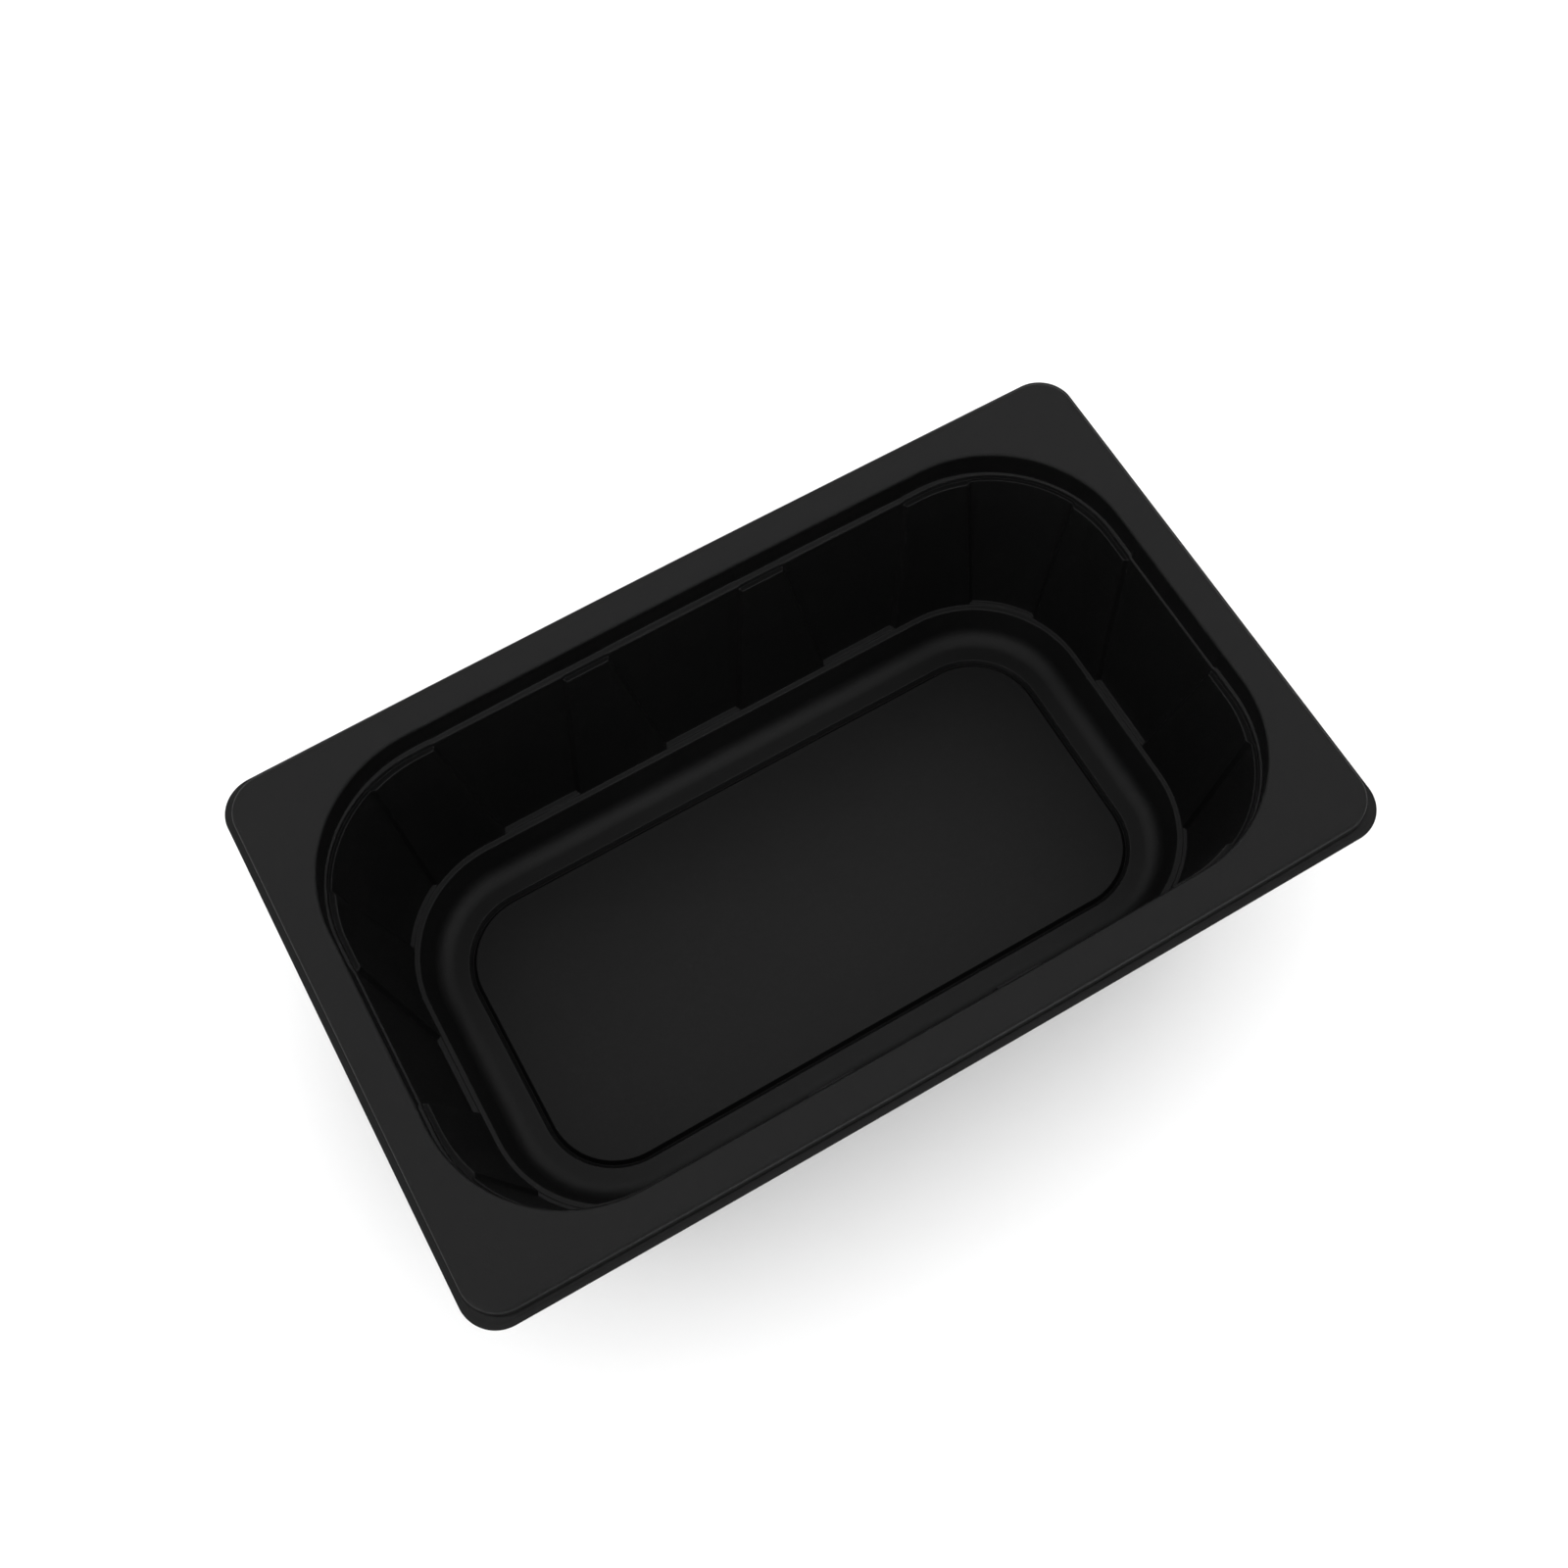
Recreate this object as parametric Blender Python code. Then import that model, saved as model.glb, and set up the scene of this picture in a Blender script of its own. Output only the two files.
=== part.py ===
"""Deli food pan: a quarter-size gastronorm pan, thermoformed from one sheet of black plastic.

The pan is a single moulding. Its food side is a surface lofted through closed
loops, from the trimmed flange over the deck, down the ribbed walls and the lower
bowl to the floor. A Solidify modifier then gives the sheet its thickness on the
outside, so that the pan is as hollow underneath as a formed sheet is.
Lengths are millimetres until a point is placed, and Z is measured from the table.
"""

import math

import bpy

MM = 0.001

# Overall size: the footprint over the rim, and the height of the deck.
LENGTH = 265.0
WIDTH = 164.0
HEIGHT = 80.0
SHEET = 0.8

# Outlines are rounded rectangles: half length, half width, corner radius, and the belly
# by which the middle of a long side stands out from its ends.
FLANGE_BELLY = 0.6
FLANGE = (LENGTH / 2, WIDTH / 2 - FLANGE_BELLY, 10.2, FLANGE_BELLY)
SKIRT = (130.45, 78.95, 10.4, 1.1)
OPENING = (120.25, 68.75, 39.5, 0.9)
SHELF_OUTER = (120.65, 69.5, 40.5, 0.8)
SHELF_INNER = (119.9, 68.4, 38.9, 0.2)
RIB_HEAD = (117.95, 66.5, 38.3, 0.2)
RIB_FOOT = (111.4, 59.5, 36.5, 0.0)
LEDGE = (110.0, 57.8, 35.1, 0.0)
GROOVE = (96.35, 44.65, 21.3, 0.0)

# Rim: a trimmed flange below a concave flare, a short skirt and a flat deck.
FLANGE_Z = 75.4
FLANGE_FLAT = 1.5
FLARE_RISE = 0.9
SKIRT_LEAN = 0.15
DECK_EDGE_RADIUS = 1.1
OPENING_RADIUS = 1.0

# Upper shelf, and the shelves at the heads of the ribs, a sloping step below it.
SHELF_Z = 70.2
SHELF_FILLET = 0.5
HEAD_Z = 69.1
HEAD_SHELF_WIDTH = 0.9
HEAD_SHELF_SLOPE = 0.1

# Lower ledge, and the shelves at the feet of the recessed panels, a sloping step above it.
LEDGE_Z = 13.3
PANEL_FOOT_Z = 14.4
FOOT_SHELF_SLOPE = 0.2
LEDGE_SLOPE = 0.12

# Recessed panels lie this far behind the ribs; the corner panels grow shallow towards the feet.
PANEL_HEAD_DEPTH = 1.6
PANEL_FOOT_DEPTH = 1.2
CORNER_HEAD_DEPTH = 0.8
CORNER_FOOT_DEPTH = 0.6

# Panels are wide at the head and narrow at the foot; three stand along a long wall.
PANEL_HEAD_HALF = 20.4
PANEL_FOOT_HALF = 12.5
PANEL_PITCH = 55.0
PANEL_SIDE_HALF = 0.9
CORNER_HEAD_ARC = 23.0
CORNER_FOOT_ARC = 16.0
CORNER_SIDE_ARC = 1.4

# Floor: a wide fillet from the riser, a flat ring, and a groove round the centre panel, whose
# bed is one sheet above the table.
FLOOR_Z = 2.1
FLOOR_FILLET = 6.3
FLOOR_FILLET_TURN = 70.0
RING_WIDTH = 3.9
GROOVE_HALF = 1.05
GROOVE_BED_HALF = 0.45

BLACK_PLASTIC = (0.0032, 0.0032, 0.0033, 1.0)
PLASTIC_ROUGHNESS = 0.42

RIB, PANEL, CORNER_PANEL = "rib", "panel", "corner panel"


def clear_scene():
    for obj in list(bpy.data.objects):
        bpy.data.objects.remove(obj, do_unlink=True)


def grown(outline, by):
    half_x, half_y, radius, belly = outline
    return (half_x + by, half_y + by, radius + by, belly)


def between(first, second, share):
    return tuple(a + (b - a) * share for a, b in zip(first, second))


def quarter_stations():
    """Points round a quarter of a loop, from the middle of a short side to the middle of a long one.

    Each is (where it lies, its place at the heads, its place at the feet, what it belongs to).
    Its place is a distance along a straight side, or an angle round the corner.
    """
    head, foot, side = PANEL_HEAD_HALF, PANEL_FOOT_HALF, PANEL_SIDE_HALF
    stations = [("short", 0.0, 0.0, PANEL)]
    stations.append(("short", head - side, foot - side, PANEL))
    stations.append(("short", head + side, foot + side, RIB))
    head_edge, foot_edge = 45.0 - CORNER_HEAD_ARC, 45.0 - CORNER_FOOT_ARC
    low_head, low_foot = head_edge - CORNER_SIDE_ARC, foot_edge - CORNER_SIDE_ARC
    high_head, high_foot = head_edge + CORNER_SIDE_ARC, foot_edge + CORNER_SIDE_ARC
    stations.append(("arc", 0.0, 0.0, RIB))
    stations.append(("arc", low_head / 2, low_foot / 2, RIB))
    stations.append(("arc", low_head, low_foot, RIB))
    for step in range(5):
        share = step / 4
        at_head = high_head + (90.0 - 2 * high_head) * share
        at_foot = high_foot + (90.0 - 2 * high_foot) * share
        stations.append(("arc", at_head, at_foot, CORNER_PANEL))
    stations.append(("arc", 90.0 - low_head, 90.0 - low_foot, RIB))
    stations.append(("arc", 90.0 - low_head / 2, 90.0 - low_foot / 2, RIB))
    stations.append(("arc", 90.0, 90.0, RIB))
    stations.append(("long", PANEL_PITCH + head + side, PANEL_PITCH + foot + side, RIB))
    stations.append(("long", PANEL_PITCH + head - side, PANEL_PITCH + foot - side, PANEL))
    stations.append(("long", PANEL_PITCH - head + side, PANEL_PITCH - foot + side, PANEL))
    stations.append(("long", PANEL_PITCH - head - side, PANEL_PITCH - foot - side, RIB))
    stations.append(("long", head + side, foot + side, RIB))
    stations.append(("long", head - side, foot - side, PANEL))
    stations.append(("long", 0.0, 0.0, PANEL))
    return stations


STATIONS = quarter_stations()


def quarter_point(station, outline, slant, depths):
    """(x, y) of a station in the first quarter. Slant runs from 0 at the heads to 1 at the feet."""
    where, at_head, at_foot, belongs = station
    half_x, half_y, radius, belly = outline
    place = at_head + (at_foot - at_head) * slant
    depth = depths.get(belongs, 0.0)
    if where == "short":
        x, y = half_x + depth, place
    elif where == "long":
        x, y = place, half_y + depth
    else:
        angle = math.radians(place)
        x = half_x - radius + (radius + depth) * math.cos(angle)
        y = half_y - radius + (radius + depth) * math.sin(angle)
    rise = max(0.0, 1.0 - (x / half_x) ** 2)
    return x, y + belly * rise * min(1.0, y / (half_y - radius))


def closed_loop(outline, z, slant=0.0, depths=None):
    """A whole loop of points in metres, anticlockwise from the middle of the +X side."""
    depths = depths or {}
    quarter = [quarter_point(station, outline, slant, depths) for station in STATIONS]
    back = quarter[-2:0:-1]
    points = list(quarter)
    points += [(-x, y) for x, y in quarter[-2::-1]]
    points += [(-x, -y) for x, y in quarter[1:]]
    points += [(x, -y) for x, y in back]
    return [(x * MM, y * MM, z * MM) for x, y in points]


def rim_loops():
    """From the trimmed edge of the flange up the flare and the skirt, over the deck, into the opening."""
    loops = [closed_loop(FLANGE, FLANGE_Z)]
    flat = grown(FLANGE, -FLANGE_FLAT)
    for degrees in (0, 30, 60, 90):
        turn = math.radians(degrees)
        z = FLANGE_Z + FLARE_RISE * (1 - math.cos(turn))
        loops.append(closed_loop(between(flat, SKIRT, math.sin(turn)), z))
    for degrees in (0, 45, 90):
        turn = math.radians(degrees)
        inset = SKIRT_LEAN + DECK_EDGE_RADIUS * (1 - math.cos(turn))
        z = HEIGHT - DECK_EDGE_RADIUS * (1 - math.sin(turn))
        loops.append(closed_loop(grown(SKIRT, -inset), z))
    for degrees in (0, 30, 60, 90):
        turn = math.radians(degrees)
        outset = OPENING_RADIUS * (1 - math.sin(turn))
        z = HEIGHT - OPENING_RADIUS * (1 - math.cos(turn))
        loops.append(closed_loop(grown(OPENING, outset), z))
    return loops


def rib_face(z):
    """The outline of the ribs' faces at a height."""
    return between(RIB_FOOT, RIB_HEAD, (z - LEDGE_Z) / (HEAD_Z - LEDGE_Z))


def wall_loops():
    """From the opening down to the shelf, and down the ribs and the panels to the lower ledge."""
    loops = [closed_loop(SHELF_OUTER, SHELF_Z + SHELF_FILLET)]
    loops.append(closed_loop(grown(SHELF_OUTER, -SHELF_FILLET), SHELF_Z))
    loops.append(closed_loop(SHELF_INNER, SHELF_Z))
    heads = {PANEL: PANEL_HEAD_DEPTH, CORNER_PANEL: CORNER_HEAD_DEPTH}
    feet = {PANEL: PANEL_FOOT_DEPTH, CORNER_PANEL: CORNER_FOOT_DEPTH}
    edges = {PANEL: PANEL_HEAD_DEPTH - HEAD_SHELF_WIDTH, CORNER_PANEL: CORNER_HEAD_DEPTH}
    head_z = HEAD_Z + HEAD_SHELF_SLOPE
    loops.append(closed_loop(grown(RIB_HEAD, HEAD_SHELF_WIDTH), head_z, 0.0, edges))
    loops.append(closed_loop(RIB_HEAD, HEAD_Z, 0.0, heads))
    loops.append(closed_loop(rib_face(PANEL_FOOT_Z), PANEL_FOOT_Z, 1.0, feet))
    step_z = PANEL_FOOT_Z - FOOT_SHELF_SLOPE
    loops.append(closed_loop(rib_face(step_z), step_z, 1.0))
    loops.append(closed_loop(RIB_FOOT, LEDGE_Z, 1.0))
    return loops


def bowl_loops():
    """From the lower ledge down the riser and the fillet to the ring, the groove and the centre panel."""
    loops = [closed_loop(LEDGE, LEDGE_Z - LEDGE_SLOPE, 1.0)]
    for step in range(5):
        turn = math.radians(FLOOR_FILLET_TURN * (1 - step / 4))
        outset = GROOVE_HALF + RING_WIDTH + FLOOR_FILLET * math.sin(turn)
        z = FLOOR_Z + FLOOR_FILLET * (1 - math.cos(turn))
        loops.append(closed_loop(grown(GROOVE, outset), z, 1.0))
    loops.append(closed_loop(grown(GROOVE, GROOVE_HALF), FLOOR_Z, 1.0))
    loops.append(closed_loop(grown(GROOVE, GROOVE_BED_HALF), SHEET, 1.0))
    loops.append(closed_loop(grown(GROOVE, -GROOVE_BED_HALF), SHEET, 1.0))
    loops.append(closed_loop(grown(GROOVE, -GROOVE_HALF), FLOOR_Z, 1.0))
    return loops


def sheet_mesh(name, loops):
    """Quads between neighbouring loops, facing the food side, and one face for the centre panel."""
    count = len(loops[0])
    points = [point for loop in loops for point in loop]
    faces = []
    for row in range(len(loops) - 1):
        for column in range(count):
            along = (column + 1) % count
            outer, inner = row * count, (row + 1) * count
            faces.append((outer + column, outer + along, inner + along, inner + column))
    last = (len(loops) - 1) * count
    faces.append(tuple(last + column for column in range(count)))
    mesh = bpy.data.meshes.new(name)
    mesh.from_pydata(points, [], faces)
    mesh.shade_smooth()
    mesh.set_sharp_from_angle(angle=math.radians(35))
    return mesh


def black_plastic():
    material = bpy.data.materials.new("black_plastic")
    material.use_nodes = True
    shader = material.node_tree.nodes["Principled BSDF"]
    shader.inputs["Base Color"].default_value = BLACK_PLASTIC
    shader.inputs["Roughness"].default_value = PLASTIC_ROUGHNESS
    shader.inputs["Metallic"].default_value = 0.0
    return material


def make_pan():
    mesh = sheet_mesh("pan", rim_loops() + wall_loops() + bowl_loops())
    mesh.materials.append(black_plastic())
    pan = bpy.data.objects.new("pan", mesh)
    bpy.context.scene.collection.objects.link(pan)
    sheet = pan.modifiers.new("sheet thickness", "SOLIDIFY")
    sheet.thickness = SHEET * MM
    sheet.offset = -1.0
    sheet.use_even_offset = True
    sheet.use_quality_normals = True
    return pan


clear_scene()
make_pan()
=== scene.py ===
"""Studio scene of a quarter-size gastronorm food pan, thermoformed from black plastic.

The pan is one moulding, so it is one piece: a closed sheet, lofted through loops from the
trimmed flange over the deck and down the ribbed walls to the floor, and back underneath.
Lengths are millimetres until a point is placed, and Z is measured from the table.
"""
import math

import bpy
import numpy as np
from mathutils import Matrix, Vector


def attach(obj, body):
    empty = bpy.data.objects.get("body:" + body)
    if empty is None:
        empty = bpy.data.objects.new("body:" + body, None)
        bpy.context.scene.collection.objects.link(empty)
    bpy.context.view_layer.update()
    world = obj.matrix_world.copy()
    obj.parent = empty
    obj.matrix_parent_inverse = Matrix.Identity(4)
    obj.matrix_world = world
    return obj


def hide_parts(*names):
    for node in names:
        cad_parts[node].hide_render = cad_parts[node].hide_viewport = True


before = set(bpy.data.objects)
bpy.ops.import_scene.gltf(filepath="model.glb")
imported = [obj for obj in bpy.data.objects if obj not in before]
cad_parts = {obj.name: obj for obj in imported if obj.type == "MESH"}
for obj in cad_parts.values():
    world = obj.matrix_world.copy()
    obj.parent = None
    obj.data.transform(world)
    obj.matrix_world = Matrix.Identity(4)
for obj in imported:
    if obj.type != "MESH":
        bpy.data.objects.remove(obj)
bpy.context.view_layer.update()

MM = 0.001
SHEET = 0.8
HEIGHT = 80.0

# Outlines are rounded rectangles: half length, half width, corner radius, and the belly
# by which the middle of a long side stands out from its ends.
FLANGE = (132.5, 81.4, 10.2, 0.6)
SKIRT = (130.45, 78.95, 10.4, 1.1)
OPENING = (120.25, 68.75, 39.5, 0.9)
SHELF_OUT = (120.95, 69.55, 40.8, 0.7)
SHELF_IN = (120.0, 68.5, 38.9, 0.15)
HEAD_OUT = (119.75, 68.2, 38.8, 0.15)
HEAD_IN = (118.2, 66.65, 38.4, 0.2)
CORNER_HEAD_OUT = (119.95, 68.45, 38.9, 0.0)
CORNER_HEAD_IN = (119.2, 67.7, 39.0, 0.0)
RIB_FOOT = (111.4, 59.5, 36.5, 0.0)
LEDGE_IN = (110.0, 57.8, 35.1, 0.0)
GROOVE = (96.35, 44.65, 21.3, 0.0)

# Rim: a trimmed flange, a concave flare, a short skirt, and a flat deck.
FLANGE_Z = 75.4
FLANGE_CHAMFER = 0.12
FLANGE_FLAT = 1.5
FLARE_RISE = 0.9
SKIRT_LEAN = 0.15
DECK_EDGE_RADIUS = 1.1
OPENING_RADIUS = 1.0

# Upper shelf, and the ledges at the heads of the ribs, which dip towards the wall.
SHELF_Z = 70.0
SHELF_SLOPE = 0.4
HEAD_Z = 69.1
HEAD_DISH = 0.35
SIDE_SHELF_OUT = (68.7, 1.7)
SIDE_SHELF_IN = (68.15, 0.25)
END_WALL_FOOT_X = 120.45
END_BEVEL_X = 119.75
END_BEVEL_DROP = 0.25

# How far each corner of the wall's profile is cut back by its rounding.
SHELF_CUT = 0.35
SHELF_LIP_CUT = 0.25
SIDE_LIP_CUT = 0.3
END_SHELF_CUT = 0.2
LEDGE_FOOT_CUT = 0.12
LEDGE_LIP_CUT = 0.5
CORNER_LEDGE_LIP_CUT = 0.35
FACE_CUT = 0.2
PANEL_FOOT_CUT = 0.25
BOWL_LIP_CUT = 0.45
GROOVE_LIP_CUT = 0.2
GROOVE_BED_CUT = 0.1

# Extra rows on the faces, as (height from the rib heads or drop from the bevel, steps), so that
# every kind of station has as many rows.
RIB_LOW_ROW = 0.5
SIDE_FACE_ROWS = ((0.1, 4), (-0.5, 7))
END_FACE_ROWS = ((0.6, 4), (1.2, 7))

# Lower ledge, and the shelves at the feet of the recessed panels.
LEDGE_Z = 13.3
FOOT_SHELF_Z = 13.75
FOOT_SHELF_SLOPE = 0.05
LEDGE_SLOPE = 0.12
END_FOOT_X = (113.05, 111.6)
SIDE_FOOT_Y = (61.35, 59.75)
CORNER_FOOT = (1.2, 0.15)

# Panels are wide at the head and narrow at the foot; three stand along a long wall.
END_EDGE = (20.4, 12.5)
SIDE_EDGE_INNER = (21.0, 12.5)
SIDE_EDGE_NEAR = (34.7, 42.7)
SIDE_EDGE_FAR = (74.9, 67.5)
CORNER_EDGE_LOW = (22.0, 29.4)
CORNER_EDGE_HIGH = (68.0, 60.8)
EDGE_HALF = 0.55
EDGE_HALF_ARC = 0.9

# Floor: a wide fillet from the riser, a flat ring, and a groove round the centre panel.
FLOOR_Z = 2.1
FLOOR_FILLET = 6.3
FLOOR_FILLET_TURN = 70.0
RING_WIDTH = 3.9
GROOVE_HALF = 1.05
GROOVE_MARGIN = 0.35
GROOVE_BED_HALF = 0.1
GROOVE_BED_Z = 0.5
FLOOR_RINGS = (0.98, 0.93, 0.86, 0.77, 0.66, 0.54, 0.41, 0.27, 0.12)
FLOOR_CROWN = 1.0

# Under side: how far its corners are softened, how finely it is worked out, and how much wider
# the groove is there.
UNDER_SOFTNESS = 0.55
UNDER_STEP = 0.2
UNDER_GROOVE_SPREAD = 0.45
UNDER_CHAMFER = 0.05

RIB, END, SIDE, CORNER = range(4)


def grown(outline, by):
    half_x, half_y, radius, belly = outline
    return (half_x + by, half_y + by, radius + by, belly)


def between(first, second, share):
    return tuple(a + (b - a) * share for a, b in zip(first, second))


def run(stations, where, start, end, steps, kind, other=None):
    """Adds stations from start up to, but not at, end.

    Each place is a pair: where the station is at the heads and at the feet.
    """
    for step in range(steps):
        share = step / steps
        weights = [0.0, 0.0, 0.0, 0.0]
        ease = share * share * (3 - 2 * share) if other is not None else 0.0
        weights[kind] = 1.0 - ease
        if other is not None:
            weights[other] = ease
        stations.append((where, between(start, end, share), weights))


def edge(place, by):
    return (place[0] + by, place[1] + by)


def quarter_stations():
    """Stations from the middle of a short side to the middle of a long one."""
    s, a = EDGE_HALF, EDGE_HALF_ARC
    made = []
    run(made, "short", (0.0, 0.0), edge(END_EDGE, -s), 6, END)
    run(made, "short", edge(END_EDGE, -s), edge(END_EDGE, s), 7, END, RIB)
    run(made, "short end", (0.0, 0.0), (1.0, 1.0), 3, RIB)
    run(made, "arc", (0.0, 0.0), edge(CORNER_EDGE_LOW, -a), 6, RIB)
    run(made, "arc", edge(CORNER_EDGE_LOW, -a), edge(CORNER_EDGE_LOW, a), 7, RIB, CORNER)
    run(made, "arc", edge(CORNER_EDGE_LOW, a), edge(CORNER_EDGE_HIGH, -a), 20, CORNER)
    run(made, "arc", edge(CORNER_EDGE_HIGH, -a), edge(CORNER_EDGE_HIGH, a), 7, CORNER, RIB)
    run(made, "arc", edge(CORNER_EDGE_HIGH, a), (90.0, 90.0), 6, RIB)
    run(made, "long end", (1.0, 1.0), (0.0, 0.0), 3, RIB)
    run(made, "long", edge(SIDE_EDGE_FAR, s), edge(SIDE_EDGE_FAR, -s), 7, RIB, SIDE)
    run(made, "long", edge(SIDE_EDGE_FAR, -s), edge(SIDE_EDGE_NEAR, s), 6, SIDE)
    run(made, "long", edge(SIDE_EDGE_NEAR, s), edge(SIDE_EDGE_NEAR, -s), 7, SIDE, RIB)
    run(made, "long", edge(SIDE_EDGE_NEAR, -s), edge(SIDE_EDGE_INNER, s), 3, RIB)
    run(made, "long", edge(SIDE_EDGE_INNER, s), edge(SIDE_EDGE_INNER, -s), 7, RIB, SIDE)
    run(made, "long", edge(SIDE_EDGE_INNER, -s), (0.0, 0.0), 5, SIDE)
    made.append(("long", (0.0, 0.0), [0.0, 0.0, 1.0, 0.0]))
    return made


def quarter_point(station, outline, slant):
    """(x, y, outward x, outward y) of a station.

    Slant runs from 0 at the heads to 1 at the feet.
    """
    where, (at_head, at_foot), _ = station
    half_x, half_y, radius, belly = outline
    place = at_head + (at_foot - at_head) * slant
    if where.startswith("short"):
        if where == "short end":
            start = END_EDGE[0] + (END_EDGE[1] - END_EDGE[0]) * slant + EDGE_HALF
            place = start + (half_y - radius - start) * place
        x, y, out = half_x, place, (1.0, 0.0)
    elif where.startswith("long"):
        if where == "long end":
            start = SIDE_EDGE_FAR[0] + (SIDE_EDGE_FAR[1] - SIDE_EDGE_FAR[0]) * slant + EDGE_HALF
            place = start + (half_x - radius - start) * place
        x, y, out = place, half_y, (0.0, 1.0)
    else:
        angle = math.radians(place)
        out = (math.cos(angle), math.sin(angle))
        x = half_x - radius + radius * out[0]
        y = half_y - radius + radius * out[1]
    rise = max(0.0, 1.0 - (x / half_x) ** 2)
    y += belly * rise * min(1.0, max(0.0, y) / (half_y - radius))
    return x, y, out[0], out[1]


def rounded(keys):
    """Rows through the keys, each an (outline, z, how far its corner is cut, steps)."""
    rows = []
    for i, (outline, z, cut, steps) in enumerate(keys):
        here = np.array((*outline, z))
        if steps == 1:
            rows.append(here)
            continue
        ends = []
        for other in (keys[i - 1], keys[i + 1]):
            there = np.array((*other[0], other[1]))
            gap = there - here
            length = math.hypot(min(abs(gap[0]), abs(gap[1])) if cut else 1.0, gap[4])
            length = max(length, math.hypot(gap[1], gap[4]), 1e-6)
            ends.append(here + gap * min(0.48, cut / length))
        for step in range(steps):
            t = step / (steps - 1)
            rows.append((1 - t) ** 2 * ends[0] + 2 * t * (1 - t) * here + t * t * ends[1])
    return rows


def rim_keys():
    keys = [(FLANGE, FLANGE_Z - FLANGE_CHAMFER, 0.0, 1)]
    keys.append((grown(FLANGE, -FLANGE_CHAMFER), FLANGE_Z, 0.0, 1))
    flat = grown(FLANGE, -FLANGE_FLAT)
    for step in range(9):
        turn = math.radians(90.0 * step / 8)
        z = FLANGE_Z + FLARE_RISE * (1 - math.cos(turn))
        keys.append((between(flat, SKIRT, math.sin(turn)), z, 0.0, 1))
    for step in range(9):
        turn = math.radians(90.0 * step / 8)
        inset = SKIRT_LEAN + DECK_EDGE_RADIUS * (1 - math.cos(turn))
        z = HEIGHT - DECK_EDGE_RADIUS * (1 - math.sin(turn))
        keys.append((grown(SKIRT, -inset), z, 0.0, 1))
    deck_outer = grown(SKIRT, -SKIRT_LEAN - DECK_EDGE_RADIUS)
    deck_inner = grown(OPENING, OPENING_RADIUS)
    for share in (0.04, 0.5, 0.96):
        keys.append((between(deck_outer, deck_inner, share), HEIGHT, 0.0, 1))
    for step in range(10):
        turn = math.radians(90.0 * step / 9)
        outset = OPENING_RADIUS * (1 - math.sin(turn))
        z = HEIGHT - OPENING_RADIUS * (1 - math.cos(turn))
        keys.append((grown(OPENING, outset), z, 0.0, 1))
    return keys


def rib_face(z):
    return between(RIB_FOOT, HEAD_IN, (z - LEDGE_Z) / (HEAD_Z - LEDGE_Z))


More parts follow.
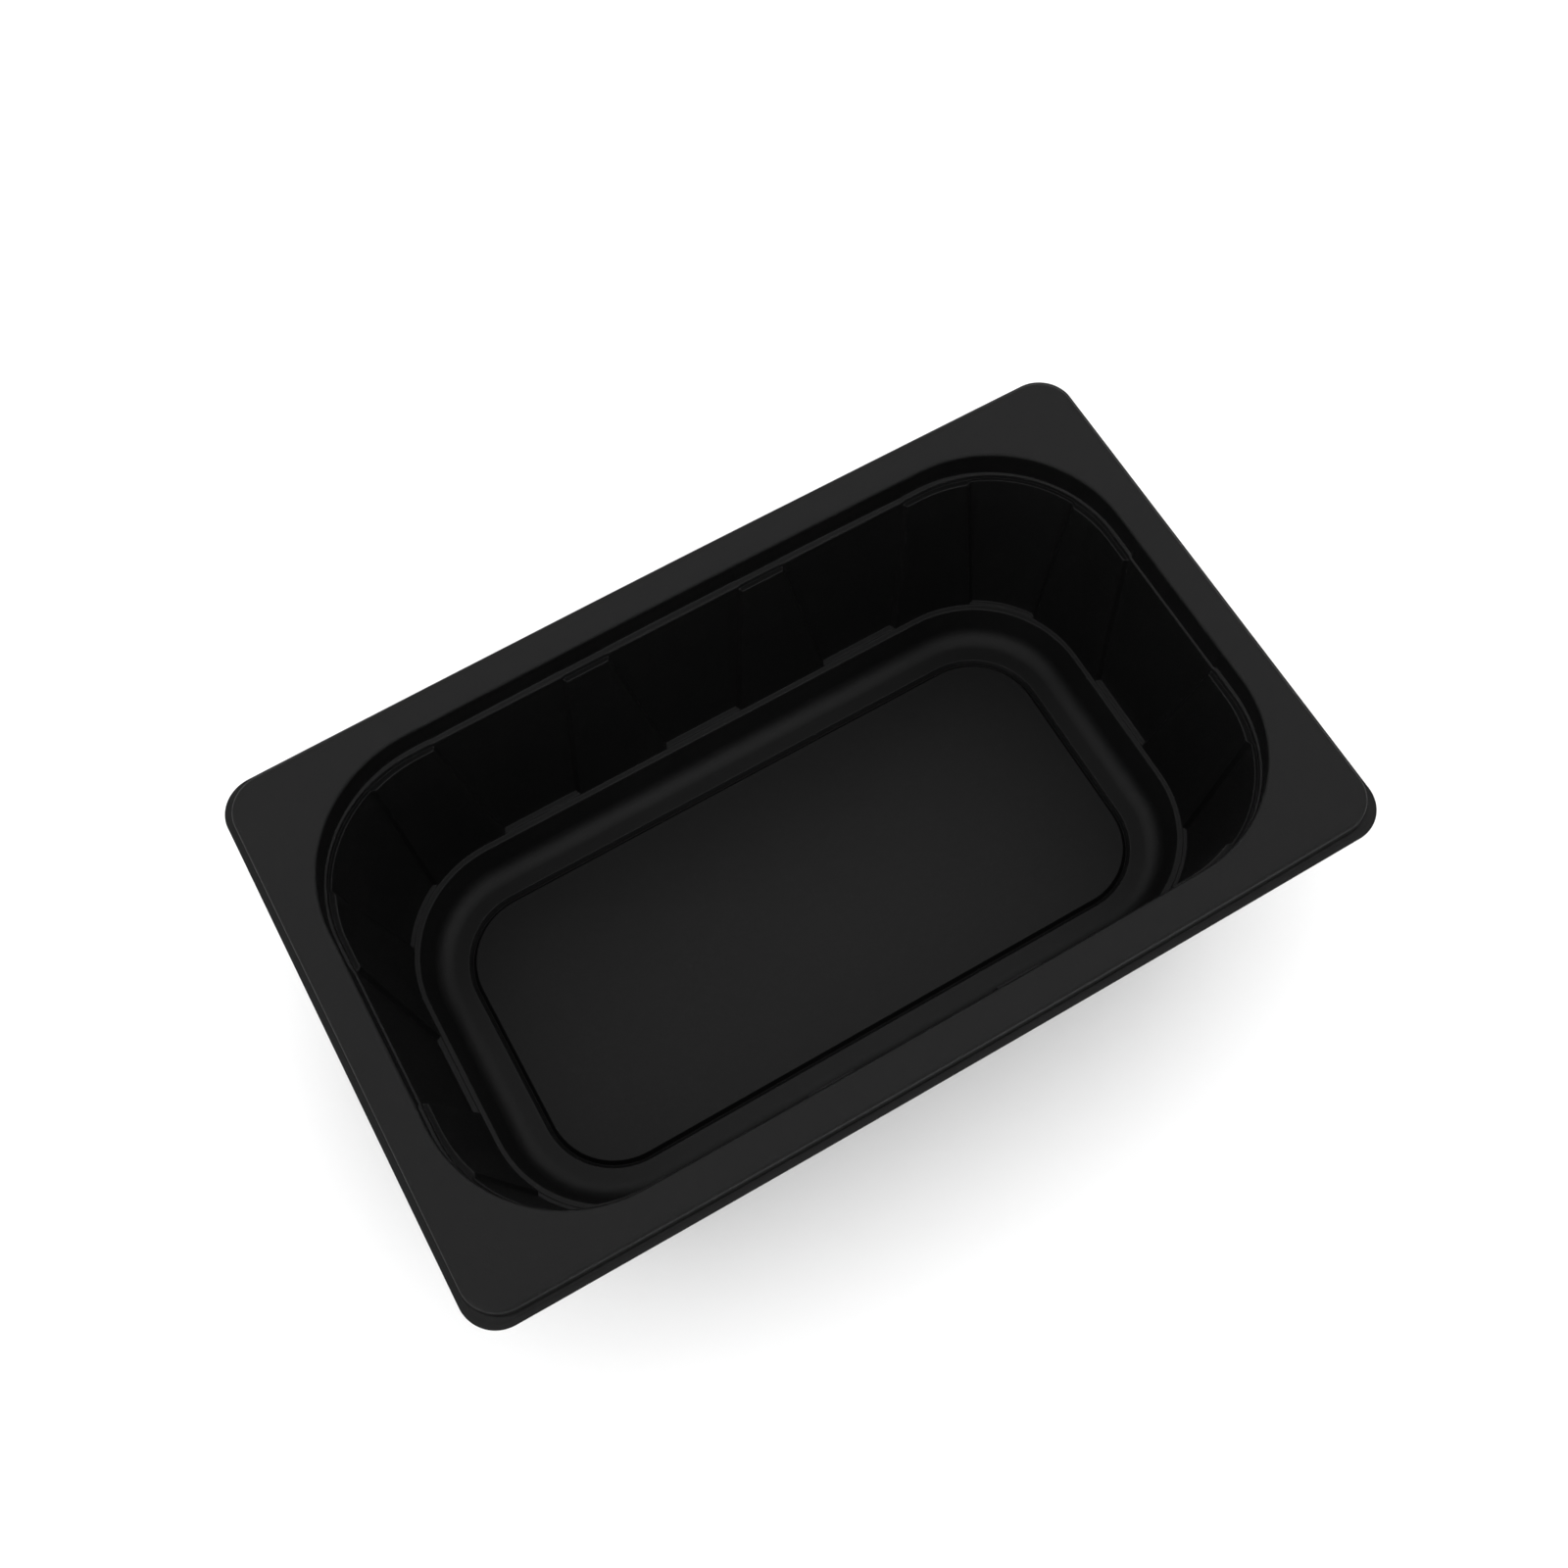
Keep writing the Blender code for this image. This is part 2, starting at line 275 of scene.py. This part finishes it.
def wall_keys(kind):
    """The wall from below the opening to the lower ledge, for one kind of station."""
    foot = rib_face(FOOT_SHELF_Z)
    shelf_top, foot_top = SHELF_Z + SHELF_SLOPE, FOOT_SHELF_Z + FOOT_SHELF_SLOPE
    if kind == RIB:
        upper = [(SHELF_OUT, shelf_top, SHELF_CUT, 5), (SHELF_IN, SHELF_Z, SHELF_LIP_CUT, 5)]
        upper.append((HEAD_OUT, HEAD_Z - HEAD_DISH, LEDGE_FOOT_CUT, 4))
        upper.append((HEAD_IN, HEAD_Z, LEDGE_LIP_CUT, 7))
        low_z = LEDGE_Z + RIB_LOW_ROW
        lower = [(foot, FOOT_SHELF_Z, FACE_CUT, 4), (rib_face(low_z), low_z, FACE_CUT, 4)]
    elif kind == CORNER:
        upper = [(SHELF_OUT, shelf_top, SHELF_CUT, 5), (SHELF_IN, SHELF_Z, SHELF_LIP_CUT, 5)]
        upper.append((CORNER_HEAD_OUT, HEAD_Z - HEAD_DISH, LEDGE_FOOT_CUT, 4))
        upper.append((CORNER_HEAD_IN, HEAD_Z, CORNER_LEDGE_LIP_CUT, 7))
        lower = [(grown(foot, CORNER_FOOT[0]), foot_top, PANEL_FOOT_CUT, 4)]
        lower.append((grown(foot, CORNER_FOOT[1]), FOOT_SHELF_Z, PANEL_FOOT_CUT, 4))
    elif kind == SIDE:
        outer = (SHELF_OUT[0], SIDE_SHELF_OUT[0], SHELF_OUT[2], SIDE_SHELF_OUT[1])
        inner = (SHELF_IN[0], SIDE_SHELF_IN[0], SHELF_IN[2], SIDE_SHELF_IN[1])
        outer_foot = (foot[0], SIDE_FOOT_Y[0], foot[2], 0.0)
        inner_foot = (foot[0], SIDE_FOOT_Y[1], foot[2], 0.0)
        span = SHELF_Z - FOOT_SHELF_Z
        upper = [(outer, shelf_top, SHELF_CUT, 5), (inner, SHELF_Z, SIDE_LIP_CUT, 5)]
        for rise, steps in SIDE_FACE_ROWS:
            z = HEAD_Z + rise
            upper.append((between(inner, outer_foot, (SHELF_Z - z) / span), z, FACE_CUT, steps))
        lower = [(outer_foot, foot_top, PANEL_FOOT_CUT, 4)]
        lower.append((inner_foot, FOOT_SHELF_Z, PANEL_FOOT_CUT, 4))
    else:
        outer = (END_WALL_FOOT_X, *SHELF_OUT[1:])
        inner = (END_BEVEL_X, *SHELF_IN[1:])
        outer_foot = (END_FOOT_X[0], *foot[1:])
        inner_foot = (END_FOOT_X[1], *foot[1:])
        top = SHELF_Z - END_BEVEL_DROP
        span = top - FOOT_SHELF_Z
        upper = [(outer, SHELF_Z, END_SHELF_CUT, 5), (inner, top, SHELF_LIP_CUT, 5)]
        for drop, steps in END_FACE_ROWS:
            z = top - drop
            upper.append((between(inner, outer_foot, (top - z) / span), z, FACE_CUT, steps))
        lower = [(outer_foot, foot_top, PANEL_FOOT_CUT, 4)]
        lower.append((inner_foot, FOOT_SHELF_Z, PANEL_FOOT_CUT, 4))
    face = []
    for step in range(1, 9):
        share = step / 9
        outline = between(upper[-1][0], lower[0][0], share)
        z = upper[-1][1] + (lower[0][1] - upper[-1][1]) * share
        face.append((outline, z, 0.0, 1))
    return upper + face + lower


def bowl_keys():
    keys = [(RIB_FOOT, LEDGE_Z, PANEL_FOOT_CUT, 4)]
    keys.append((LEDGE_IN, LEDGE_Z - LEDGE_SLOPE, BOWL_LIP_CUT, 6))
    for step in range(15):
        turn = math.radians(FLOOR_FILLET_TURN * (1 - step / 14))
        outset = GROOVE_HALF + RING_WIDTH + FLOOR_FILLET * math.sin(turn)
        z = FLOOR_Z + FLOOR_FILLET * (1 - math.cos(turn))
        keys.append((grown(GROOVE, outset), z, 0.0, 1))
    keys.append((grown(GROOVE, GROOVE_HALF + RING_WIDTH / 2), FLOOR_Z, 0.0, 1))
    return keys


def groove_keys():
    keys = [(grown(GROOVE, GROOVE_HALF + GROOVE_MARGIN), FLOOR_Z, 0.0, 1)]
    keys.append((grown(GROOVE, GROOVE_HALF), FLOOR_Z, GROOVE_LIP_CUT, 4))
    keys.append((grown(GROOVE, GROOVE_BED_HALF), GROOVE_BED_Z, GROOVE_BED_CUT, 3))
    keys.append((grown(GROOVE, -GROOVE_BED_HALF), GROOVE_BED_Z, GROOVE_BED_CUT, 3))
    keys.append((grown(GROOVE, -GROOVE_HALF), FLOOR_Z, GROOVE_LIP_CUT, 4))
    keys.append((grown(GROOVE, -GROOVE_HALF - GROOVE_MARGIN), FLOOR_Z, 0.0, 1))
    return keys


def food_side():
    """The food side and its outward directions, as arrays [row, column, axis].

    The third value is the groove's first row and the row after its last.
    """
    tables = []
    for kind in (RIB, END, SIDE, CORNER):
        upper = rim_keys() + wall_keys(kind) + bowl_keys()
        rows = rounded(upper)
        start = len(rows)
        rows += rounded(groove_keys())
        stop = len(rows)
        tables.append(rows)
    stations = quarter_stations()
    count = len(tables[0])
    quarter = np.zeros((count, len(stations), 3))
    out = np.zeros((count, len(stations), 3))
    for row in range(count):
        height = tables[RIB][row][4]
        slant = min(1.0, max(0.0, (HEAD_Z - height) / (HEAD_Z - FOOT_SHELF_Z)))
        for column, station in enumerate(stations):
            for kind, weight in enumerate(station[2]):
                if not weight:
                    continue
                x, y, out_x, out_y = quarter_point(station, tuple(tables[kind][row][:4]), slant)
                quarter[row, column] += weight * np.array((x, y, tables[kind][row][4]))
                out[row, column] = (out_x, out_y, 0.0)
    whole, outward = [], []
    for source, made in ((quarter, whole), (out, outward)):
        flip_x, flip_y = np.array((-1.0, 1.0, 1.0)), np.array((1.0, -1.0, 1.0))
        made.append(source)
        made.append(source[:, -2::-1] * flip_x)
        made.append(source[:, 1:] * flip_x * flip_y)
        made.append(source[:, -2:0:-1] * flip_y)
    food, outward = np.concatenate(whole, 1), np.concatenate(outward, 1)
    rings = []
    for size in FLOOR_RINGS:
        ring = food[-1] * np.array((size, size, 1.0))
        ring[:, 2] += FLOOR_CROWN * (1 - size ** 2) ** 1.5
        rings.append(ring)
    outward = np.concatenate((outward, [outward[-1]] * len(rings)))
    return np.concatenate((food, rings)), outward, (start, stop)


def under_side(food, outward, groove):
    """The far side of the sheet. It is softer than the food side, which lay against the mould."""
    under = food.copy()
    start, stop = groove
    for column in range(food.shape[1]):
        r = (food[:, column] * outward[:, column]).sum(1)
        z = food[:, column, 2]
        gaps = np.hypot(np.diff(r), np.diff(z))
        along = np.concatenate(([0.0], np.cumsum(np.maximum(gaps, 1e-6))))
        even = np.arange(0.0, along[start] + UNDER_STEP, UNDER_STEP)
        even_r, even_z = np.interp(even, along, r), np.interp(even, along, z)
        reach = int(3 * UNDER_SOFTNESS / UNDER_STEP)
        kernel = np.exp(-0.5 * (np.arange(-reach, reach + 1) * UNDER_STEP / UNDER_SOFTNESS) ** 2)
        kernel /= kernel.sum()
        soft = []
        for values in (even_r, even_z):
            head = 2 * values[0] - values[reach:0:-1]
            tail = 2 * values[-1] - values[-2:-reach - 2:-1]
            soft.append(np.convolve(np.concatenate((head, values, tail)), kernel, "valid"))
        soft_r, soft_z = soft
        slope_r, slope_z = np.gradient(soft_r), np.gradient(soft_z)
        size = np.maximum(np.hypot(slope_r, slope_z), 1e-9)
        far_r = soft_r - SHEET * slope_z / size
        far_z = soft_z + SHEET * slope_r / size
        new_r = np.interp(along[:start], even, far_r)
        new_z = np.interp(along[:start], even, far_z)
        under[:start, column] += outward[:start, column] * (new_r - r[:start])[:, None]
        under[:start, column, 2] = new_z
    middle = (food[start] + food[stop - 1]) / 2
    for row in range(start, stop):
        away = ((food[row] - middle) * outward[row]).sum(1)
        shift = np.clip(away / GROOVE_BED_HALF, -1.0, 1.0) * UNDER_GROOVE_SPREAD
        under[row] += outward[row] * shift[:, None]
    under[start:, :, 2] = np.maximum(under[start:, :, 2] - SHEET, 0.0)
    under[0] = food[0]
    under[0, :, 2] = FLANGE_Z - SHEET + UNDER_CHAMFER
    under[1, :, 2] = FLANGE_Z - SHEET
    return under


def pan_mesh():
    food, outward, groove = food_side()
    under = under_side(food, outward, groove)
    rows, columns = food.shape[:2]
    points = np.concatenate((food.reshape(-1, 3), under.reshape(-1, 3))) * MM
    faces = []
    far = rows * columns
    for row in range(rows - 1):
        for column in range(columns):
            along = (column + 1) % columns
            outer, inner = row * columns, (row + 1) * columns
            faces.append((outer + column, outer + along, inner + along, inner + column))
            outer, inner = outer + far, inner + far
            faces.append((outer + column, inner + column, inner + along, outer + along))
    for column in range(columns):
        along = (column + 1) % columns
        faces.append((column, far + column, far + along, along))
    last = (rows - 1) * columns
    faces.append(tuple(last + column for column in range(columns)))
    faces.append(tuple(far + last + column for column in reversed(range(columns))))
    mesh = bpy.data.meshes.new("pan_sheet")
    mesh.from_pydata([tuple(p) for p in points], [], faces)
    mesh.validate()
    mesh.shade_smooth()
    return mesh


def black_plastic():
    """Satin black sheet: near-black pigment, a fine grain from the mould, and a slow unevenness."""
    material = bpy.data.materials.new("black_plastic_satin")
    material.use_nodes = True
    nodes, links = material.node_tree.nodes, material.node_tree.links
    shader = nodes["Principled BSDF"]
    shader.inputs["IOR"].default_value = 1.49
    shader.inputs["Specular IOR Level"].default_value = 0.155
    place = nodes.new("ShaderNodeTexCoord")

    def noise(scale, detail, roughness):
        node = nodes.new("ShaderNodeTexNoise")
        node.inputs["Scale"].default_value = scale
        node.inputs["Detail"].default_value = detail
        node.inputs["Roughness"].default_value = roughness
        links.new(place.outputs["Object"], node.inputs["Vector"])
        return node.outputs["Fac"]

    def ramp(source, low, high):
        node = nodes.new("ShaderNodeMapRange")
        node.inputs["From Min"].default_value = 0.3
        node.inputs["From Max"].default_value = 0.7
        node.inputs["To Min"].default_value = low
        node.inputs["To Max"].default_value = high
        links.new(source, node.inputs["Value"])
        return node.outputs["Result"]

    def bump(source, strength, distance, under=None):
        node = nodes.new("ShaderNodeBump")
        node.inputs["Strength"].default_value = strength
        node.inputs["Distance"].default_value = distance
        links.new(source, node.inputs["Height"])
        if under is not None:
            links.new(under, node.inputs["Normal"])
        return node.outputs["Normal"]

    mottle = noise(45.0, 3.0, 0.5)
    grain = noise(1900.0, 2.0, 0.5)
    tint = nodes.new("ShaderNodeMix")
    tint.data_type = "RGBA"
    tint.inputs["A"].default_value = (0.0021, 0.0021, 0.0022, 1.0)
    tint.inputs["B"].default_value = (0.0030, 0.0030, 0.0030, 1.0)
    links.new(mottle, tint.inputs["Factor"])
    links.new(tint.outputs["Result"], shader.inputs["Base Color"])
    links.new(ramp(grain, 0.49, 0.56), shader.inputs["Roughness"])
    slow = bump(mottle, 0.25, 0.0004)
    links.new(bump(grain, 0.16, 0.00012, slow), shader.inputs["Normal"])
    return material


def pale_floor():
    material = bpy.data.materials.new("pale_floor")
    material.use_nodes = True
    nodes, links = material.node_tree.nodes, material.node_tree.links
    shader = nodes["Principled BSDF"]
    shader.inputs["Roughness"].default_value = 0.9
    shader.inputs["Specular IOR Level"].default_value = 0.1
    place = nodes.new("ShaderNodeTexCoord")
    cloud = nodes.new("ShaderNodeTexNoise")
    cloud.inputs["Scale"].default_value = 3.0
    links.new(place.outputs["Object"], cloud.inputs["Vector"])
    tint = nodes.new("ShaderNodeMix")
    tint.data_type = "RGBA"
    tint.inputs["A"].default_value = (0.92, 0.92, 0.92, 1.0)
    tint.inputs["B"].default_value = (0.94, 0.94, 0.94, 1.0)
    links.new(cloud.outputs["Fac"], tint.inputs["Factor"])
    links.new(tint.outputs["Result"], shader.inputs["Base Color"])
    return material


def make_pan():
    pan = bpy.data.objects.new("pan_moulding", pan_mesh())
    bpy.context.scene.collection.objects.link(pan)
    pan.data.materials.append(black_plastic())
    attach(pan, "root")
    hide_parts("pan")


def make_floor():
    half = 4.0
    corners = [(-half, -half, 0.0), (half, -half, 0.0), (half, half, 0.0), (-half, half, 0.0)]
    mesh = bpy.data.meshes.new("studio_floor")
    mesh.from_pydata(corners, [], [(0, 1, 2, 3)])
    mesh.materials.append(pale_floor())
    floor = bpy.data.objects.new("studio_floor", mesh)
    bpy.context.scene.collection.objects.link(floor)


def make_backdrop():
    """A pale curved wall round the floor, which shows only from low angles."""
    radius, sunk, height, count = 3.9, -0.01, 5.0, 96
    points, faces = [], []
    for column in range(count):
        angle = 2 * math.pi * column / count
        for z in (sunk, height):
            points.append((radius * math.cos(angle), radius * math.sin(angle), z))
    for column in range(count):
        first, second = 2 * column, 2 * ((column + 1) % count)
        faces.append((first, first + 1, second + 1, second))
    mesh = bpy.data.meshes.new("studio_backdrop")
    mesh.from_pydata(points, [], faces)
    mesh.shade_smooth()
    mesh.materials.append(pale_floor())
    backdrop = bpy.data.objects.new("studio_backdrop", mesh)
    bpy.context.scene.collection.objects.link(backdrop)


def make_lights():
    def panel(name, place, target, size, power):
        light = bpy.data.lights.new(name, "AREA")
        light.shape = "RECTANGLE"
        light.size, light.size_y = size
        light.energy = power
        lamp = bpy.data.objects.new(name, light)
        lamp.location = place
        aim = Vector(target) - Vector(place)
        lamp.rotation_mode = "QUATERNION"
        lamp.rotation_quaternion = aim.to_track_quat("-Z", "Y")
        bpy.context.scene.collection.objects.link(lamp)

    panel("overhead_softbox", (0.0, 0.0, 1.3), (0.0, 0.0, 0.0), (4.4, 4.4), 96.0)
    panel("left_strip", (-1.3, -0.5, 0.45), (0.0, 0.0, 0.08), (0.16, 1.0), 2.5)
    world = bpy.data.worlds.new("studio")
    world.use_nodes = True
    background = world.node_tree.nodes["Background"]
    background.inputs["Color"].default_value = (1.0, 1.0, 1.0, 1.0)
    background.inputs["Strength"].default_value = 0.02
    bpy.context.scene.world = world
    bpy.context.scene.view_settings.view_transform = "Standard"


def make_camera():
    camera = bpy.data.cameras.new("camera")
    camera.sensor_width = 36.0
    camera.lens = 42.40
    camera.clip_start, camera.clip_end = 0.01, 20.0
    holder = bpy.data.objects.new("camera", camera)
    bpy.context.scene.collection.objects.link(holder)
    right = Vector((0.86905, -0.49339, -0.03625))
    up = Vector((0.46659, 0.79307, 0.39159))
    back = Vector((-0.16446, -0.35723, 0.91943))
    turn = Matrix((right, up, back)).transposed().to_4x4()
    holder.matrix_world = Matrix.Translation((-0.07934, -0.16746, 0.52520)) @ turn
    bpy.context.scene.camera = holder


make_camera()
make_pan()
make_floor()
make_backdrop()
make_lights()
